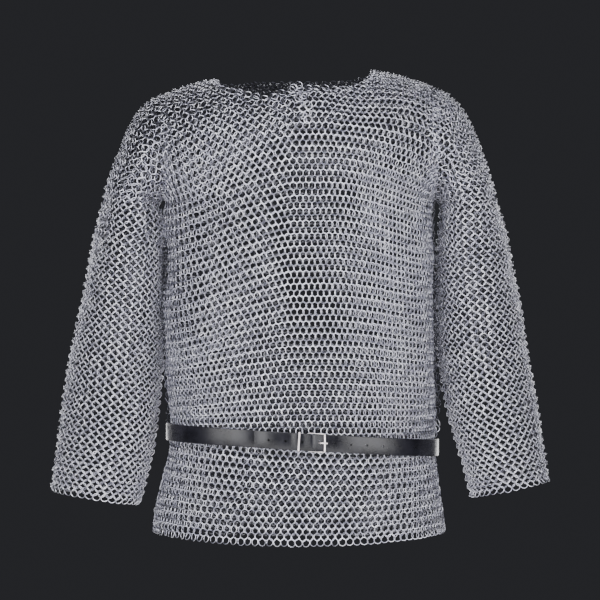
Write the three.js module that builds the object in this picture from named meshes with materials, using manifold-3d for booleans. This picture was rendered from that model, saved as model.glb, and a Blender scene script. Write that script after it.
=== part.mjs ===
// Chainmail hauberk with its leather waist belt, in the hollow form it has when worn.
// Millimetres, +Z up. The front faces -Y and +X is the onlooker's right.
// The origin is where the wearer's shoulders carry it, midway between the two armholes.

import * as THREE from 'three';
import { mergeVertices } from 'three/addons/utils/BufferGeometryUtils.js';
import Module from 'manifold-3d';

const wasm = await Module();
wasm.setup();

const front = -1;
const back = 1;
const left = -1;
const right = 1;
const quarterTurn = Math.PI / 2;

// ---- driving dimensions ----

const mailThickness = 4; // two rings leaning on each other
const seamGap = 0.3;
const meshColumns = 20; // across a body panel
const archRows = 8; // from the armpit up to the shoulder ridge or the neckline
const halfTurnSides = 10; // around the front or the back of a sleeve

// The body below the arms: flat sections through the worn form, from hem to armpit.
// sideLine is how far back its widest places are, where the front and back panels meet.
const bodySections = [
  { level: -690, halfWidth: 220, centre: -2, front: 147, back: 130, sideLine: 0 },
  { level: -645, halfWidth: 214, centre: -1, front: 141, back: 122, sideLine: 0 },
  { level: -600, halfWidth: 206, centre: 1, front: 134, back: 114, sideLine: 0 },
  { level: -562, halfWidth: 199, centre: 3, front: 128, back: 108, sideLine: 0 },
  { level: -520, halfWidth: 199, centre: 4, front: 128, back: 108, sideLine: 0 },
  { level: -490, halfWidth: 201, centre: 5, front: 133, back: 110, sideLine: -10 },
  { level: -430, halfWidth: 202, centre: 2, front: 137, back: 112, sideLine: -20 },
  { level: -340, halfWidth: 202, centre: 0, front: 141, back: 116, sideLine: -20 },
  { level: -260, halfWidth: 201, centre: 0, front: 143, back: 121, sideLine: -18 },
  { level: -185, halfWidth: 203, centre: 0, front: 140, back: 125, sideLine: 0 },
];
const bodySquareness = 2.4; // 2 is an ellipse, more is squarer
const bodyRowStep = 30; // height between the rows of the mesh

// The shoulders: arches over the chest, from one armhole plane to the other.
const armhole = { halfSpan: 203, bottom: -185, top: -20 };
const archCentre = (armhole.bottom + armhole.top) / 2;
const ridge = { centreHeight: 22, falloff: 2.2 };
const chest = { front: 145, back: 130, halfWidth: 245 };
const neck = {
  centre: -8,
  halfWidth: 120,
  squareness: 3,
  columns: [0.8, 0.93, 0.985, 1], // shares of the half width where the mesh has a column
  columnGap: 0.03,
};
const neckAngle = { [front]: 40, [back]: 55 }; // degrees up the arch at the middle

// The sleeve turns down at the shoulder, in planes that fan out from under the arm.
const fan = { pivotRadius: 6, steps: 8, endAngle: 83 };
const fanReach = [
  { angle: 0, reach: 165 },
  { angle: 8, reach: 156 },
  { angle: 17, reach: 140 },
  { angle: 27, reach: 120 },
  { angle: 40, reach: 101 },
  { angle: 60, reach: 89 },
  { angle: 83, reach: 87 },
];

// Below that it follows the arm. The level is that of the sleeve's inner edge, and
// setBack is how far that edge lies behind the armhole's middle.
const sleeveSections = {
  [left]: [
    { level: -190, inner: 209, reach: 87, front: 92, back: 92, tilt: 7, setBack: 8 },
    { level: -260, inner: 203, reach: 112, front: 89, back: 88, tilt: 7.3, setBack: 20 },
    { level: -340, inner: 203, reach: 126, front: 84, back: 82, tilt: 7.6, setBack: 22 },
    { level: -430, inner: 205, reach: 141, front: 78, back: 78, tilt: 8, setBack: 20 },
    { level: -500, inner: 211, reach: 147, front: 72, back: 74, tilt: 8.5, setBack: 12 },
    { level: -560, inner: 220, reach: 147, front: 68, back: 70, tilt: 9, setBack: 2 },
    { level: -640, inner: 241, reach: 136, front: 64, back: 66, tilt: 9.3, setBack: -8 },
  ],
  [right]: [
    { level: -190, inner: 209, reach: 87, front: 92, back: 92, tilt: 7, setBack: 8 },
    { level: -260, inner: 203, reach: 112, front: 89, back: 88, tilt: 7.4, setBack: 20 },
    { level: -340, inner: 204, reach: 126, front: 84, back: 82, tilt: 8, setBack: 22 },
    { level: -430, inner: 209, reach: 138, front: 80, back: 80, tilt: 9, setBack: 20 },
    { level: -500, inner: 220, reach: 138, front: 77, back: 78, tilt: 10, setBack: 12 },
    { level: -560, inner: 237, reach: 129, front: 76, back: 77, tilt: 11, setBack: 2 },
    { level: -628, inner: 256, reach: 121, front: 73, back: 74, tilt: 11.9, setBack: -8 },
  ],
};
const sleeveSteps = 9;

// The neck slit: its right lip laps over the left one.
const slitFlap = { from: -14, to: 24, depth: 0.55, columns: 4, rows: 5, thickness: 3, gap: 0.5 };

// The belt: one strap round the waist, its free end through the buckle and over itself.
const belt = {
  middleHeight: -541,
  slope: -24 / 411, // down to the onlooker's right
  width: 25.4,
  thickness: 3,
  standOff: 3, // from the mail
  layerGap: 0.5,
  buckleEnd: 8, // where the under layer starts
  rampFrom: 32, // where the free end starts to rise
  rampTo: 16, // where it lies over the under layer
  freeEnd: -64,
  step: 14,
  turnStep: 0.105, // radians between the stops round the body
};
const hole = { diameter: 3.4, sides: 10, pitch: 23.2, depth: 14 };
const holeNumbers = [-3, -2, -1, 1, 2, 3, 4]; // counted from the prong's hole
const farHoleNumber = 6;
const prongHole = { middle: 26.5, diameter: 7.4 };
const buckle = {
  pivotX: 12,
  outerX: 36.5,
  pivotOffset: 3.7,
  outerOffset: 7.9,
  height: 32,
  barWidth: 2.1,
  outerBarWidth: 4.2,
  depth: 2.8,
  corner: 2.5,
};
const prongRadius = 1.1;
const prongPath = [
  { x: 15.2, offset: 4 },
  { x: 21, offset: 3.4 },
  { x: 24, offset: 4 },
  { x: 28, offset: 7.7 },
  { x: 32, offset: 10.2 },
  { x: 36.5, offset: 10.9 },
  { x: 41, offset: 10.5 },
];
const keeper = { middle: -1.5, width: 4.2, thickness: 1.2, clearance: 0.4 };

const finishes = {
  mail: { color: 0x9a9aa6, metalness: 0.9, roughness: 0.38 },
  leather: { color: 0x1d1d21, metalness: 0, roughness: 0.36 },
  fitting: { color: 0xd6cfd2, metalness: 1, roughness: 0.25 },
};

// ---- smooth values between the rows of a table ----

function rowSlope(table, index, keyColumn, column) {
  const before = table[Math.max(index - 1, 0)];
  const after = table[Math.min(index + 1, table.length - 1)];
  return (after[column] - before[column]) / (after[keyColumn] - before[keyColumn]);
}

function readTable(table, keyColumn, key, column) {
  const ascending = table[1][keyColumn] > table[0][keyColumn];
  const inside = (row) => (ascending ? row[keyColumn] <= key : row[keyColumn] >= key);
  let index = 0;
  while (index < table.length - 2 && inside(table[index + 1])) index += 1;
  const start = table[index];
  const end = table[index + 1];
  const span = end[keyColumn] - start[keyColumn];
  const t = THREE.MathUtils.clamp((key - start[keyColumn]) / span, 0, 1);
  const startSlope = rowSlope(table, index, keyColumn, column) * span;
  const endSlope = rowSlope(table, index + 1, keyColumn, column) * span;
  const rise = end[column] - start[column];
  const cubic = (startSlope + endSlope - 2 * rise) * t + (3 * rise - 2 * startSlope - endSlope);
  return start[column] + t * (startSlope + t * cubic);
}

// ---- the form of the garment: its outer face ----

function roundedDepth(fraction, depth) {
  const share = 1 - Math.min(Math.abs(fraction), 1) ** bodySquareness;
  return depth * share ** (1 / bodySquareness);
}

function bodyPoint(level, fraction, side) {
  const read = (column) => readTable(bodySections, 'level', level, column);
  const sideLine = read('sideLine');
  const reach = read(side === front ? 'front' : 'back') - side * sideLine;
  const x = read('centre') + read('halfWidth') * fraction;
  const y = sideLine + side * (roundedDepth(fraction, reach) + seamGap / 2);
  return new THREE.Vector3(x, y, level);
}

function ridgeHeight(x) {
  const drop = ridge.centreHeight - armhole.top;
  return ridge.centreHeight - drop * (Math.abs(x) / armhole.halfSpan) ** ridge.falloff;
}

function neckTopAngle(x, side) {
  const across = Math.min(Math.abs(x - neck.centre) / neck.halfWidth, 1);
  const round = (1 - across ** neck.squareness) ** (1 / neck.squareness);
  const middle = THREE.MathUtils.degToRad(neckAngle[side]);
  return middle + (quarterTurn - middle) * (1 - round);
}

function archPoint(fraction, climb, side) {
  const x = armhole.halfSpan * fraction;
  const name = side === front ? 'front' : 'back';
  const bottomDepth = roundedDepth(fraction, bodySections.at(-1)[name]);
  const depth = roundedDepth(x / chest.halfWidth, chest[name]);
  const startAngle = -Math.acos(Math.min(bottomDepth / depth, 1));
  const angle = startAngle + climb * (neckTopAngle(x, side) - startAngle);
  const lower = (archCentre - armhole.bottom) / Math.sin(-startAngle);
  const upper = ridgeHeight(x) - archCentre;
  const height = archCentre + (angle < 0 ? lower : upper) * Math.sin(angle);
  return new THREE.Vector3(x, side * (depth * Math.cos(angle) + seamGap / 2), height);
}

function sleeveStations(side) {
  const stations = [];
  const pivotHeight = armhole.bottom - fan.pivotRadius;
  for (let step = 0; step <= fan.steps; step += 1) {
    const angle = (fan.endAngle * step) / fan.steps;
    const turn = THREE.MathUtils.degToRad(angle);
    const outward = new THREE.Vector3(side * Math.sin(turn), 0, Math.cos(turn));
    const base = new THREE.Vector3(side * (armhole.halfSpan + seamGap), 0, pivotHeight);
    base.addScaledVector(outward, fan.pivotRadius);
    const start = sleeveSections[side][0];
    const blend = step / fan.steps;
    stations.push({
      base,
      outward,
      reach: readTable(fanReach, 'angle', angle, 'reach'),
      front: THREE.MathUtils.lerp(roundedDepth(armhole.halfSpan / chest.halfWidth, chest.front),
        start.front, blend),
      back: THREE.MathUtils.lerp(roundedDepth(armhole.halfSpan / chest.halfWidth, chest.back),
        start.back, blend),
      setBack: start.setBack * blend,
    });
  }
  const table = sleeveSections[side];
  const top = table[0].level;
  const length = table.at(-1).level - top;
  for (let step = 1; step <= sleeveSteps; step += 1) {
    const level = top + (length * step) / sleeveSteps;
    const read = (column) => readTable(table, 'level', level, column);
    const tilt = THREE.MathUtils.degToRad(read('tilt'));
    stations.push({
      base: new THREE.Vector3(side * read('inner'), 0, level),
      outward: new THREE.Vector3(side * Math.cos(tilt), 0, Math.sin(tilt)),
      reach: read('reach'),
      front: read('front'),
      back: read('back'),
      setBack: read('setBack'),
    });
  }
  return stations;
}

// Half of a turn round the sleeve, from its inner edge to its outer one.
function sleeveArc(station, side, inset) {
  const radius = station.reach / 2;
  const depth = (side === front ? station.front : station.back) - inset;
  return Array.from({ length: halfTurnSides + 1 }, (_, corner) => {
    const angle = (Math.PI * corner) / halfTurnSides;
    const along = radius - (radius - inset) * Math.cos(angle);
    const point = station.base.clone().addScaledVector(station.outward, along);
    point.y = station.setBack + side * (depth * Math.sin(angle) + seamGap / 2);
    return point;
  });
}

// ---- walls and meshes ----

function gridNormals(grid, side) {
  return grid.map((row, r) => row.map((point, c) => {
    const below = grid[Math.max(r - 1, 0)][c];
    const above = grid[Math.min(r + 1, grid.length - 1)][c];
    const before = row[Math.max(c - 1, 0)];
    const after = row[Math.min(c + 1, row.length - 1)];
    const up = above.clone().sub(below);
    const across = after.clone().sub(before);
    const normal = up.cross(across).multiplyScalar(side);
    return normal.normalize();
  }));
}

function moved(grid, normals, distance) {
  return grid.map((row, r) => row.map((point, c) => (
    point.clone().addScaledVector(normals[r][c], distance)
  )));
}

// Joins an outer and an inner grid of points into one closed wall.
function wallGeometry(outer, inner) {
  const rows = outer.concat(inner.slice().reverse());
  const columns = outer[0].length;
  const positions = rows.flat().flatMap((point) => point.toArray());
  const index = [];
  const quad = (a, b, c, d) => index.push(a, b, c, a, c, d);
  rows.forEach((row, r) => {
    const start = r * columns;
    const next = ((r + 1) % rows.length) * columns;
    for (let c = 0; c < columns - 1; c += 1) {
      quad(start + c, start + c + 1, next + c + 1, next + c);
    }
  });
  for (let r = 0; r < outer.length - 1; r += 1) {
    const a = r * columns;
    const b = (r + 1) * columns;
    const c = (rows.length - 2 - r) * columns;
    const d = (rows.length - 1 - r) * columns;
    const end = columns - 1;
    quad(a, b, c, d);
    quad(a + end, d + end, c + end, b + end);
  }
  return facingOut(positions, index);
}

function facingOut(positions, index) {
  const at = (i) => new THREE.Vector3().fromArray(positions, 3 * i);
  let volume = 0;
  for (let i = 0; i < index.length; i += 3) {
    volume += at(index[i]).dot(at(index[i + 1]).cross(at(index[i + 2])));
  }
  if (volume < 0) index.reverse();
  const geometry = new THREE.BufferGeometry();
  geometry.setAttribute('position', new THREE.Float32BufferAttribute(positions, 3));
  geometry.setIndex(index);
  geometry.computeVertexNormals();
  return geometry;
}

function toManifold(geometry) {
  const bare = geometry.clone();
  bare.deleteAttribute('normal');
  bare.deleteAttribute('uv');
  const merged = mergeVertices(bare, 1e-4);
  const mesh = new wasm.Mesh({
    numProp: 3,
    vertProperties: new Float32Array(merged.attributes.position.array),
    triVerts: new Uint32Array(merged.index.array),
  });
  return new wasm.Manifold(mesh);
}

function fromManifold(solid) {
  const mesh = solid.getMesh();
  const geometry = new THREE.BufferGeometry();
  geometry.setAttribute('position', new THREE.BufferAttribute(mesh.vertProperties, 3));
  geometry.setIndex(new THREE.BufferAttribute(mesh.triVerts, 1));
  geometry.computeVertexNormals();
  return geometry;
}

const hauberk = new THREE.Group();

function addPart(name, geometry, finish) {
  const mesh = new THREE.Mesh(geometry, new THREE.MeshStandardMaterial(finishes[finish]));
  mesh.name = name;
  hauberk.add(mesh);
  return mesh;
}

// ---- the body panels ----

// Columns lie closer together at the sides, and some follow the round corners of the neck.
function columnFractions() {
  const atNeck = neck.columns.flatMap((share) => [-share, share])
    .map((share) => (neck.centre + share * neck.halfWidth) / armhole.halfSpan);
  const spread = Array.from({ length: meshColumns + 1 }, (_, column) => (
    Math.sin(quarterTurn * ((2 * column) / meshColumns - 1))));
  const apart = spread.filter((f) => atNeck.every((other) => Math.abs(other - f) > neck.columnGap));
  return apart.concat(atNeck).sort((a, b) => a - b);
}

function bodyLevels() {
  const bottom = bodySections[0].level;
  const height = armhole.bottom - bottom;
  const count = Math.round(height / bodyRowStep);
  return Array.from({ length: count + 1 }, (_, row) => bottom + (height * row) / count);
}

function bodyPanel(side) {
  const fractions = columnFractions();
  const levels = bodyLevels();
  const grid = levels.map((level) => fractions.map((f) => bodyPoint(level, f, side)));
  for (let row = 1; row <= archRows; row += 1) {
    grid.push(fractions.map((f) => archPoint(f, row / archRows, side)));
  }
  const normals = gridNormals(grid, side);
  const armpitRow = levels.length - 1;
  const lastColumn = fractions.length - 1;
  normals.forEach((row, r) => {
    row[0].y = 0;
    row[lastColumn].y = 0;
    if (r > armpitRow) {
      const flatten = archNormal(grid, r);
      row[0].copy(flatten(0));
      row[lastColumn].copy(flatten(lastColumn));
    }
    if (r === armpitRow) {
      row[0].set(-1, 0, -1);
      row[lastColumn].set(1, 0, -1);
    }
    row[0].normalize();
    row[lastColumn].normalize();
  });
  grid.at(-1).forEach((point, c) => {
    if (Math.abs(point.y) > seamGap) return;
    normals.at(-1)[c].y = 0;
    normals.at(-1)[c].normalize();
  });
  return wallGeometry(grid, moved(grid, normals, -mailThickness));
}

// The normal of an armhole edge, kept in the armhole's own plane.
function archNormal(grid, r) {
  return (c) => {
    const below = grid[r - 1][c];
    const above = grid[Math.min(r + 1, grid.length - 1)][c];
    const height = above.z - below.z;
    const depth = Math.abs(above.y) - Math.abs(below.y);
    const isTop = r === grid.length - 1;
    const side = Math.sign(grid[r][c].y);
    return isTop
      ? new THREE.Vector3(0, 0, 1)
      : new THREE.Vector3(0, side * height, -depth).normalize();
  };
}

function sleeveHalf(stations, side) {
  const outer = stations.map((station) => sleeveArc(station, side, 0));
  const inner = stations.map((station) => sleeveArc(station, side, mailThickness));
  return wallGeometry(outer, inner);
}

// The head of the sleeve, over the shoulder joint, ends where the arm's own run starts.
function addSleeve(name, hand) {
  const stations = sleeveStations(hand);
  const head = stations.slice(0, fan.steps + 1);
  const start = stations[fan.steps];
  const onward = new THREE.Vector3(0, hand, 0).cross(start.outward);
  const shifted = { ...start, base: start.base.clone().addScaledVector(onward, seamGap) };
  const arm = [shifted, ...stations.slice(fan.steps + 1)];
  addPart(`${name}_head_front`, sleeveHalf(head, front), 'mail');
  addPart(`${name}_head_back`, sleeveHalf(head, back), 'mail');
  addPart(`${name}_front`, sleeveHalf(arm, front), 'mail');
  addPart(`${name}_back`, sleeveHalf(arm, back), 'mail');
}

function neckFlap() {
  const grid = [];
  for (let row = 0; row <= slitFlap.rows; row += 1) {
    const climb = slitFlap.depth + ((1 - slitFlap.depth) * row) / slitFlap.rows;
    const points = [];
    for (let column = 0; column <= slitFlap.columns; column += 1) {
      const share = column / slitFlap.columns;
      const x = THREE.MathUtils.lerp(slitFlap.from, slitFlap.to, share);
      points.push(archPoint(x / armhole.halfSpan, climb, front));
    }
    grid.push(points);
  }
  const normals = gridNormals(grid, front);
  const outer = moved(grid, normals, slitFlap.gap + slitFlap.thickness);
  return wallGeometry(outer, moved(grid, normals, slitFlap.gap));
}

// ---- the belt ----

function beltHeight(x) {
  return belt.middleHeight + belt.slope * x;
}

// A point of the waist at a turn in radians, counted from the front towards the onlooker's left.
function waistPoint(turn, offset) {
  const level = belt.middleHeight;
  const read = (column) => readTable(bodySections, 'level', level, column);
  const power = 2 / bodySquareness;
  const spread = (value) => Math.sign(value) * Math.abs(value) ** power;
  const side = Math.cos(turn) > 0 ? front : back;
  const halfWidth = read('halfWidth') + offset;
  const depth = read(side === front ? 'front' : 'back') + offset;
  const x = read('centre') - halfWidth * spread(Math.sin(turn));
  return new THREE.Vector3(x, -depth * spread(Math.cos(turn)), beltHeight(x));
}

function turnAtX(x) {
  const halfWidth = readTable(bodySections, 'level', belt.middleHeight, 'halfWidth');
  const centre = readTable(bodySections, 'level', belt.middleHeight, 'centre');
  const share = (x - centre) / halfWidth;
  return -Math.sign(share) * Math.asin(Math.abs(share) ** (bodySquareness / 2));
}

// How far the strap's inner face stands off the mail, from the over layer's place along X.
function strapOffset(x, overLayer) {
  if (!overLayer) return belt.standOff;
  const rise = belt.thickness + belt.layerGap;
  const share = THREE.MathUtils.clamp((belt.rampFrom - x) / (belt.rampFrom - belt.rampTo), 0, 1);
  return belt.standOff + rise * share;
}

function strapStops() {
  const stops = [];
  const start = turnAtX(belt.buckleEnd);
  const rampStart = 2 * Math.PI + turnAtX(belt.rampFrom + belt.step);
  const around = Math.round((rampStart - start) / belt.turnStep);
  for (let stop = 0; stop <= around; stop += 1) {
    const turn = start + ((rampStart - start) * stop) / around;
    stops.push({ turn, overLayer: false });
  }
  const overStops = [belt.rampFrom, belt.rampTo];
  const overCount = Math.round((belt.rampTo - belt.freeEnd) / belt.step);
  for (let stop = 1; stop <= overCount; stop += 1) {
    overStops.push(THREE.MathUtils.lerp(belt.rampTo, belt.freeEnd, stop / overCount));
  }
  overStops.forEach((x) => stops.push({ turn: turnAtX(x), overLayer: true, x }));
  return stops;
}

function strapGeometry() {
  const stops = strapStops();
  const face = (extra) => [-1, 1].map((edge) => stops.map((stop) => {
    const offset = strapOffset(stop.x, stop.overLayer) + extra;
    const point = waistPoint(stop.turn, offset);
    point.z += (edge * belt.width) / 2;
    return point;
  }));
  return wallGeometry(face(belt.thickness), face(0));
}

function punch(x, diameter, overLayer) {
  const drill = new THREE.CylinderGeometry(diameter / 2, diameter / 2, hole.depth, hole.sides);
  const middle = waistPoint(turnAtX(x), strapOffset(x, overLayer) + belt.thickness / 2);
  const ahead = waistPoint(turnAtX(x + 1), strapOffset(x + 1, overLayer) + belt.thickness / 2);
  const along = ahead.sub(middle).setZ(0).normalize();
  const turn = new THREE.Matrix4().makeBasis(
    along,
    new THREE.Vector3(along.y, -along.x, 0),
    new THREE.Vector3(0, 0, 1),
  );
  drill.applyMatrix4(turn.determinant() < 0 ? turn.scale(new THREE.Vector3(1, 1, -1)) : turn);
  const reach = overLayer ? drillReach(along) : new THREE.Vector3();
  drill.translate(middle.x + reach.x, middle.y + reach.y, middle.z);
  return toManifold(drill);
}

// Holes of the free end stop in the gap above the under layer.
function drillReach(along) {
  const out = new THREE.Vector3(along.y, -along.x, 0);
  if (out.y > 0) out.negate();
  return out.multiplyScalar(hole.depth / 2 - belt.thickness / 2 - belt.layerGap / 2);
}

function punchedStrap() {
  let strap = toManifold(strapGeometry());
  const numbers = holeNumbers.concat(farHoleNumber);
  numbers.forEach((number) => {
    const x = prongHole.middle + hole.pitch * number;
    strap = strap.subtract(punch(x, hole.diameter, x < belt.rampFrom));
  });
  return fromManifold(strap.subtract(punch(prongHole.middle, prongHole.diameter, false)));
}

function frontPlace(x, offset) {
  const point = waistPoint(turnAtX(x), offset);
  return new THREE.Vector3(x, point.y, beltHeight(x));
}

function buckleFrame() {
  const inner = frontPlace(buckle.pivotX, buckle.pivotOffset);
  const outer = frontPlace(buckle.outerX, buckle.outerOffset);
  const halfSpan = inner.distanceTo(outer) / 2;
  const halfHeight = buckle.height / 2;
  const pivotEdge = -halfSpan - buckle.barWidth / 2;
  const outerEdge = halfSpan + buckle.outerBarWidth / 2;
  const outline = new THREE.Shape();
  outline.moveTo(pivotEdge, -halfHeight + buckle.corner);
  outline.lineTo(pivotEdge, halfHeight - buckle.corner);
  outline.quadraticCurveTo(pivotEdge, halfHeight, pivotEdge + buckle.corner, halfHeight);
  outline.lineTo(outerEdge - buckle.corner, halfHeight);
  outline.quadraticCurveTo(outerEdge, halfHeight, outerEdge, halfHeight - buckle.corner);
  outline.lineTo(outerEdge, -halfHeight + buckle.corner);
  outline.quadraticCurveTo(outerEdge, -halfHeight, outerEdge - buckle.corner, -halfHeight);
  outline.lineTo(pivotEdge + buckle.corner, -halfHeight);
  outline.quadraticCurveTo(pivotEdge, -halfHeight, pivotEdge, -halfHeight + buckle.corner);
  const window = new THREE.Path();
  const windowTop = halfHeight - buckle.barWidth;
  window.moveTo(-halfSpan + buckle.barWidth / 2, -windowTop);
  window.lineTo(halfSpan - buckle.outerBarWidth / 2, -windowTop);
  window.lineTo(halfSpan - buckle.outerBarWidth / 2, windowTop);
  window.lineTo(-halfSpan + buckle.barWidth / 2, windowTop);
  window.closePath();
  outline.holes.push(window);
  const options = { depth: buckle.depth, bevelEnabled: false, curveSegments: 3 };
  const geometry = new THREE.ExtrudeGeometry(outline, options);
  geometry.translate(0, 0, -buckle.depth / 2);
  const across = outer.clone().sub(inner).normalize();
  const outward = new THREE.Vector3(0, -1, 0).addScaledVector(across, across.y).normalize();
  const upward = outward.clone().cross(across);
  geometry.applyMatrix4(new THREE.Matrix4().makeBasis(across, upward, outward));
  const middle = inner.clone().lerp(outer, 0.5);
  geometry.translate(middle.x, middle.y, middle.z);
  return geometry;
}

function buckleProng() {
  const points = prongPath.map((stop) => frontPlace(stop.x, stop.offset));
  const section = new THREE.Shape();
  section.absarc(0, 0, prongRadius, 0, 2 * Math.PI, false);
  return new THREE.ExtrudeGeometry(section, {
    steps: 12,
    curveSegments: 4,
    bevelEnabled: false,
    extrudePath: new THREE.CatmullRomCurve3(points),
  });
}

function keeperLoop() {
  const top = strapOffset(keeper.middle, true) + belt.thickness + keeper.clearance;
  const bottom = belt.standOff - keeper.clearance;
  const halfHeight = belt.width / 2 + keeper.clearance;
  const wall = keeper.thickness;
  const ring = new THREE.Shape();
  ring.moveTo(bottom - wall, -halfHeight - wall);
  ring.lineTo(top + wall, -halfHeight - wall);
  ring.lineTo(top + wall, halfHeight + wall);
  ring.lineTo(bottom - wall, halfHeight + wall);
  ring.closePath();
  const window = new THREE.Path();
  window.moveTo(bottom, -halfHeight);
  window.lineTo(bottom, halfHeight);
  window.lineTo(top, halfHeight);
  window.lineTo(top, -halfHeight);
  window.closePath();
  ring.holes.push(window);
  const geometry = new THREE.ExtrudeGeometry(ring, { depth: keeper.width, bevelEnabled: false });
  geometry.translate(0, 0, -keeper.width / 2);
  const outward = new THREE.Vector3(0, -1, 0);
  const across = new THREE.Vector3(1, 0, belt.slope).normalize();
  const upward = across.clone().cross(outward).negate();
  const side = outward.clone().cross(upward);
  geometry.applyMatrix4(new THREE.Matrix4().makeBasis(outward, upward, side));
  const place = frontPlace(keeper.middle, 0);
  geometry.translate(place.x, place.y, place.z);
  return geometry;
}

addPart('front_panel', bodyPanel(front), 'mail');
addPart('back_panel', bodyPanel(back), 'mail');
addSleeve('left_sleeve', left);
addSleeve('right_sleeve', right);
addPart('neck_flap', neckFlap(), 'mail');
addPart('belt_strap', punchedStrap(), 'leather');
addPart('belt_keeper', keeperLoop(), 'fitting');
addPart('buckle_frame', buckleFrame(), 'fitting');
addPart('buckle_prong', buckleProng(), 'fitting');

export default hauberk;
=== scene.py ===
# Chainmail hauberk with its belt. Every ring of the mail is modelled, in rows that lean by turns.
import math

import bmesh
import bpy
import numpy as np
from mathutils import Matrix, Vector


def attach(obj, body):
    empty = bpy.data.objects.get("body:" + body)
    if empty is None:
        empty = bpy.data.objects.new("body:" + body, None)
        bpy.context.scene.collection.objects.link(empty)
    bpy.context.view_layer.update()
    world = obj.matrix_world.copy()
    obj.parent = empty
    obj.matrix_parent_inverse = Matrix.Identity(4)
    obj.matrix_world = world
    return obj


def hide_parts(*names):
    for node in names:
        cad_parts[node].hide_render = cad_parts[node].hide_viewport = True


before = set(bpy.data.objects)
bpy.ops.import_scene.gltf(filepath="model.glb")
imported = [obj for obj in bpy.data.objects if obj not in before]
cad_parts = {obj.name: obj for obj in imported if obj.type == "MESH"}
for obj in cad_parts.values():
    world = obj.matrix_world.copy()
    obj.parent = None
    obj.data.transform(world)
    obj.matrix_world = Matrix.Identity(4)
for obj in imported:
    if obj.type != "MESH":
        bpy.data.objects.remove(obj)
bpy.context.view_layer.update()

scene = bpy.context.scene
millimetre = 0.001
front, back = -1, 1
left, right = -1, 1
rng = np.random.default_rng(11)


# ---- the garment's form, in millimetres, as its solids have it ----

bodySections = {  # flat sections from hem to armpit; sideLine is how far back the widest places are
    "level": [-690, -645, -600, -562, -520, -490, -430, -340, -260, -185],
    "halfWidth": [220, 214, 206, 199, 199, 201, 202, 202, 201, 203],
    "centre": [-2, -1, 1, 3, 4, 5, 2, 0, 0, 0],
    "front": [147, 141, 134, 128, 128, 133, 137, 141, 143, 140],
    "back": [130, 122, 114, 108, 108, 110, 112, 116, 121, 125],
    "sideLine": [0, 0, 0, 0, 0, -10, -20, -20, -18, 0],
}
bodySquareness = 2.4
armhole = {"halfSpan": 203, "bottom": -185, "top": -20}
ridge = {"centreHeight": 22, "falloff": 2.2}
chest = {"front": 145, "back": 130, "halfWidth": 245}
neck = {"centre": -8, "halfWidth": 120, "squareness": 3, "front": 40, "back": 55}
fan = {"pivotRadius": 6, "steps": 14, "endAngle": 83}
fanReach = {"angle": [0, 8, 17, 27, 40, 60, 83], "reach": [165, 156, 140, 120, 101, 89, 87]}
sleeveSections = {
    left: {
        "level": [-190, -260, -340, -430, -500, -560, -640],
        "inner": [209, 203, 203, 205, 211, 220, 241],
        "reach": [87, 112, 126, 141, 147, 147, 136],
        "front": [92, 89, 84, 78, 72, 68, 64],
        "back": [92, 88, 82, 78, 74, 70, 66],
        "tilt": [7, 7.3, 7.6, 8, 8.5, 9, 9.3],
        "setBack": [8, 20, 22, 20, 12, 2, -8],
    },
    right: {
        "level": [-190, -260, -340, -430, -500, -560, -628],
        "inner": [209, 203, 204, 209, 220, 237, 256],
        "reach": [87, 112, 126, 138, 138, 129, 121],
        "front": [92, 89, 84, 80, 77, 76, 73],
        "back": [92, 88, 82, 80, 78, 77, 74],
        "tilt": [7, 7.4, 8, 9, 10, 11, 11.9],
        "setBack": [8, 20, 22, 20, 12, 2, -8],
    },
}
belt = {  # x runs along its front; the free end laps over from rampFrom to freeEnd
    "middleHeight": -541,
    "slope": -24 / 411,
    "width": 25.4,
    "thickness": 3,
    "standOff": 3,
    "layerGap": 0.5,
    "edgeRadius": 0.9,
    "buckleEnd": 8,
    "rampFrom": 32,
    "rampTo": 16,
    "freeEnd": -64,
    "holeDiameter": 3.4,
    "holePitch": 23.2,
    "prongHole": 26.5,
    "prongHoleDiameter": 7.4,
    "mailUnderTop": 4,  # how far the mail of the body goes down behind the belt's middle
    "mailUnderFoot": 1,  # and the skirt's up behind it
}


def sideName(side):
    return "front" if side == front else "back"


def readTable(table, column, key):  # a smooth value between the rows of a table
    keys = np.array(table[next(iter(table))], float)
    values = np.array(table[column], float)
    if keys[0] > keys[-1]:
        keys, values = keys[::-1], values[::-1]
    slopes = np.empty_like(values)
    slopes[1:-1] = (values[2:] - values[:-2]) / (keys[2:] - keys[:-2])
    slopes[0] = (values[1] - values[0]) / (keys[1] - keys[0])
    slopes[-1] = (values[-1] - values[-2]) / (keys[-1] - keys[-2])
    row = np.clip(np.searchsorted(keys, key, side="right") - 1, 0, len(keys) - 2)
    span = keys[row + 1] - keys[row]
    t = np.clip((key - keys[row]) / span, 0, 1)
    rise = values[row + 1] - values[row]
    startSlope, endSlope = slopes[row] * span, slopes[row + 1] * span
    cubic = (startSlope + endSlope - 2 * rise) * t + (3 * rise - 2 * startSlope - endSlope)
    return values[row] + t * (startSlope + t * cubic)


def smoothStep(value):
    t = np.clip(value, 0, 1)
    return t * t * (3 - 2 * t)


def roundedDepth(fraction, depth):
    share = 1 - np.minimum(np.abs(fraction), 1) ** bodySquareness
    return depth * share ** (1 / bodySquareness)


def bodyPoint(level, fraction, side):
    read = lambda column: readTable(bodySections, column, level)
    sideLine = read("sideLine")
    reach = read(sideName(side)) - side * sideLine
    x = read("centre") + read("halfWidth") * fraction
    return np.stack([x, sideLine + side * roundedDepth(fraction, reach), level + 0 * x], -1)


def ridgeHeight(x):
    drop = ridge["centreHeight"] - armhole["top"]
    return ridge["centreHeight"] - drop * (np.abs(x) / armhole["halfSpan"]) ** ridge["falloff"]


archCentre = (armhole["bottom"] + armhole["top"]) / 2


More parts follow.
